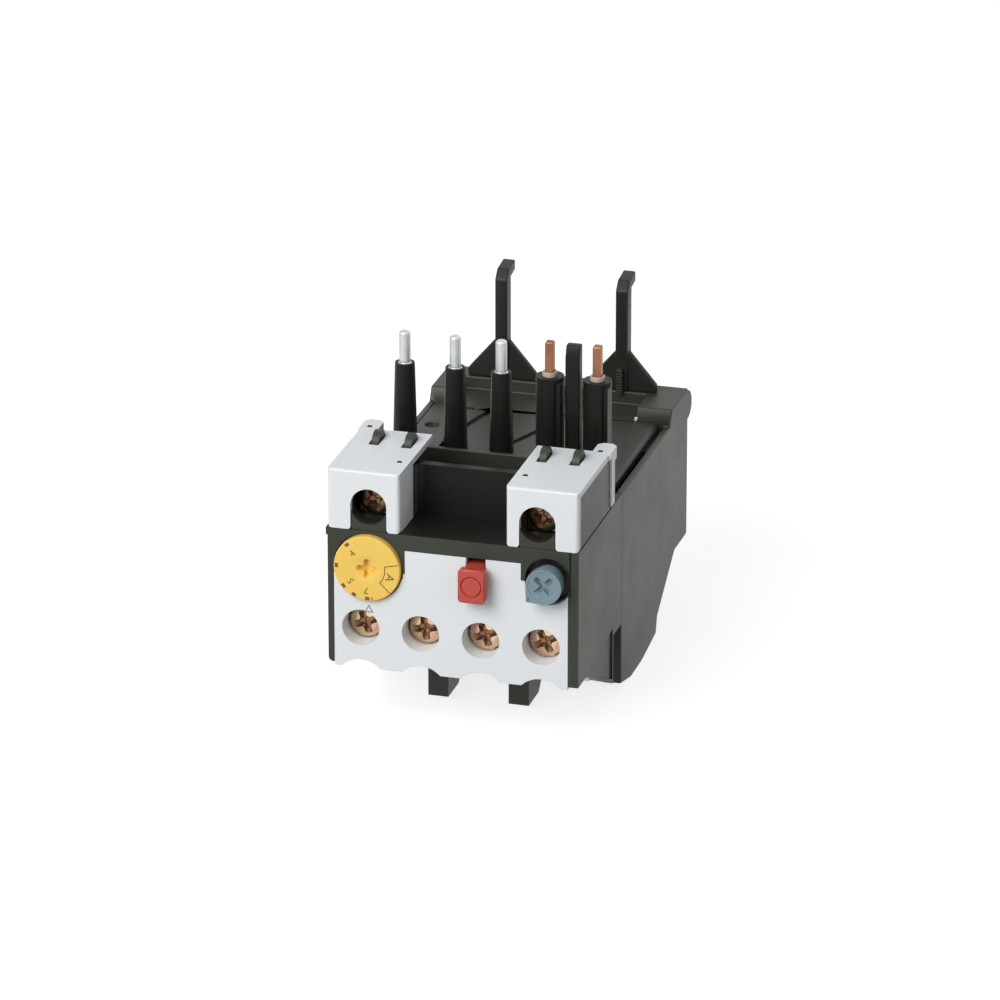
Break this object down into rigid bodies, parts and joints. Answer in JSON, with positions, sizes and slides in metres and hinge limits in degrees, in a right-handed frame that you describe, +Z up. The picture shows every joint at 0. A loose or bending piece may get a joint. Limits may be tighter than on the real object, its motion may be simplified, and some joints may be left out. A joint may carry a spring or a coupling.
{
  "type": "thermal overload relay",
  "caption": "Direct-mount thermal overload relay: two-part dark housing, white face plate, current dial, stop button, reset knob, contact pins and latch hooks on top.",
  "frame": {"origin": "middle of the footprint, on the surface that the relay's underside stands on", "axes": "+X to the right seen from the face plate, +Y from the face plate to the rear, +Z up towards the contactor"},
  "size_m": [0.0456, 0.081, 0.0643],
  "materials": {
    "black_plastic": "satin, finely textured",
    "white_plastic": "satin",
    "yellow_plastic": "satin",
    "red_plastic": "semi-gloss",
    "blue_plastic": "semi-gloss",
    "cream_plastic": "satin",
    "grey_plastic": "satin",
    "tinned_copper": "satin tin plating",
    "copper": "bare drawn copper",
    "yellow_zinc": "yellow passivated zinc",
    "steel": "bright zinc",
    "bimetal": "rolled",
    "ceramic": "woven glass sleeve",
    "brass": "punched",
    "silver": "polished"
  },
  "bodies": {
    "housing": {"front_housing": "black_plastic", "rear_housing": "black_plastic", "top_deck": "black_plastic", "pin_sleeves": "black_plastic", "wire_sleeves": "black_plastic", "locating_finger": "black_plastic", "left_hook": "black_plastic", "right_hook": "black_plastic", "face_plate": "white_plastic", "left_terminal_cover": "white_plastic", "right_terminal_cover": "white_plastic", "contact_pin_1": "tinned_copper", "contact_pin_2": "tinned_copper", "contact_pin_3": "tinned_copper", "coil_wire_left": "copper", "coil_wire_right": "copper", "wire_collars": "cream_plastic", "auxiliary_screws": "yellow_zinc", "auxiliary_clamps": "yellow_zinc", "coil_screws": "yellow_zinc", "coil_clamps": "yellow_zinc", "main_terminal_screws": "yellow_zinc", "main_terminal_clamps": "steel", "terminal_bars": "brass", "stop_spring": "steel", "reset_spring": "steel", "spring_bracket": "steel", "compensation_strip": "bimetal", "contact_block": "grey_plastic", "contact_springs": "brass", "contact_rivets": "silver", "bimetal_strips": "bimetal", "bimetal_feet": "brass", "heater_cores": "ceramic", "heater_windings": "steel", "lever_pin": "steel"},
    "dial": {"setting_dial": "yellow_plastic", "setting_cam": "grey_plastic"},
    "stop": {"stop_button": "red_plastic"},
    "reset_stem": {"reset_plunger": "grey_plastic"},
    "reset_head": {"reset_knob": "blue_plastic"},
    "trip_bar": {"trip_slide": "grey_plastic"},
    "phase_loss_bar": {"phase_loss_slide": "grey_plastic"},
    "lever": {"trip_lever": "grey_plastic"}
  },
  "joints": [
    {"name": "dial_turn", "type": "hinge", "parent": "housing", "child": "dial", "pos_m": [-0.0152, -0.0375, 0.031], "axis": [0, -1, 0], "range_deg": [-100, 100]},
    {"name": "stop_press", "type": "slide", "parent": "housing", "child": "stop", "axis": [0, 1, 0], "range_m": [0, 0.0012], "stiffness_N_per_m": 600, "springref_m": -0.001, "deforming": ["stop_spring"]},
    {"name": "reset_press", "type": "slide", "parent": "housing", "child": "reset_stem", "axis": [0, 1, 0], "range_m": [0, 0.0014], "stiffness_N_per_m": 600, "springref_m": -0.001, "deforming": ["reset_spring"]},
    {"name": "reset_turn", "type": "hinge", "parent": "reset_stem", "child": "reset_head", "pos_m": [0.017, -0.0375, 0.032], "axis": [0, -1, 0], "range_deg": [0, 90]},
    {"name": "trip_bar_slide", "type": "slide", "parent": "housing", "child": "trip_bar", "axis": [1, 0, 0], "range_m": [0, 0.0015]},
    {"name": "phase_loss_bar_slide", "type": "slide", "parent": "housing", "child": "phase_loss_bar", "axis": [-1, 0, 0], "range_m": [0, 0.0015]},
    {"name": "lever_turn", "type": "hinge", "parent": "housing", "child": "lever", "pos_m": [0.0184, -0.0045, 0.0325], "axis": [0, 0, 1], "range_deg": [-10.4, 0]}
  ],
  "couplings": [
    {"joint": "lever_turn", "follows": "trip_bar_slide", "rad_per_m": -120}
  ]
}
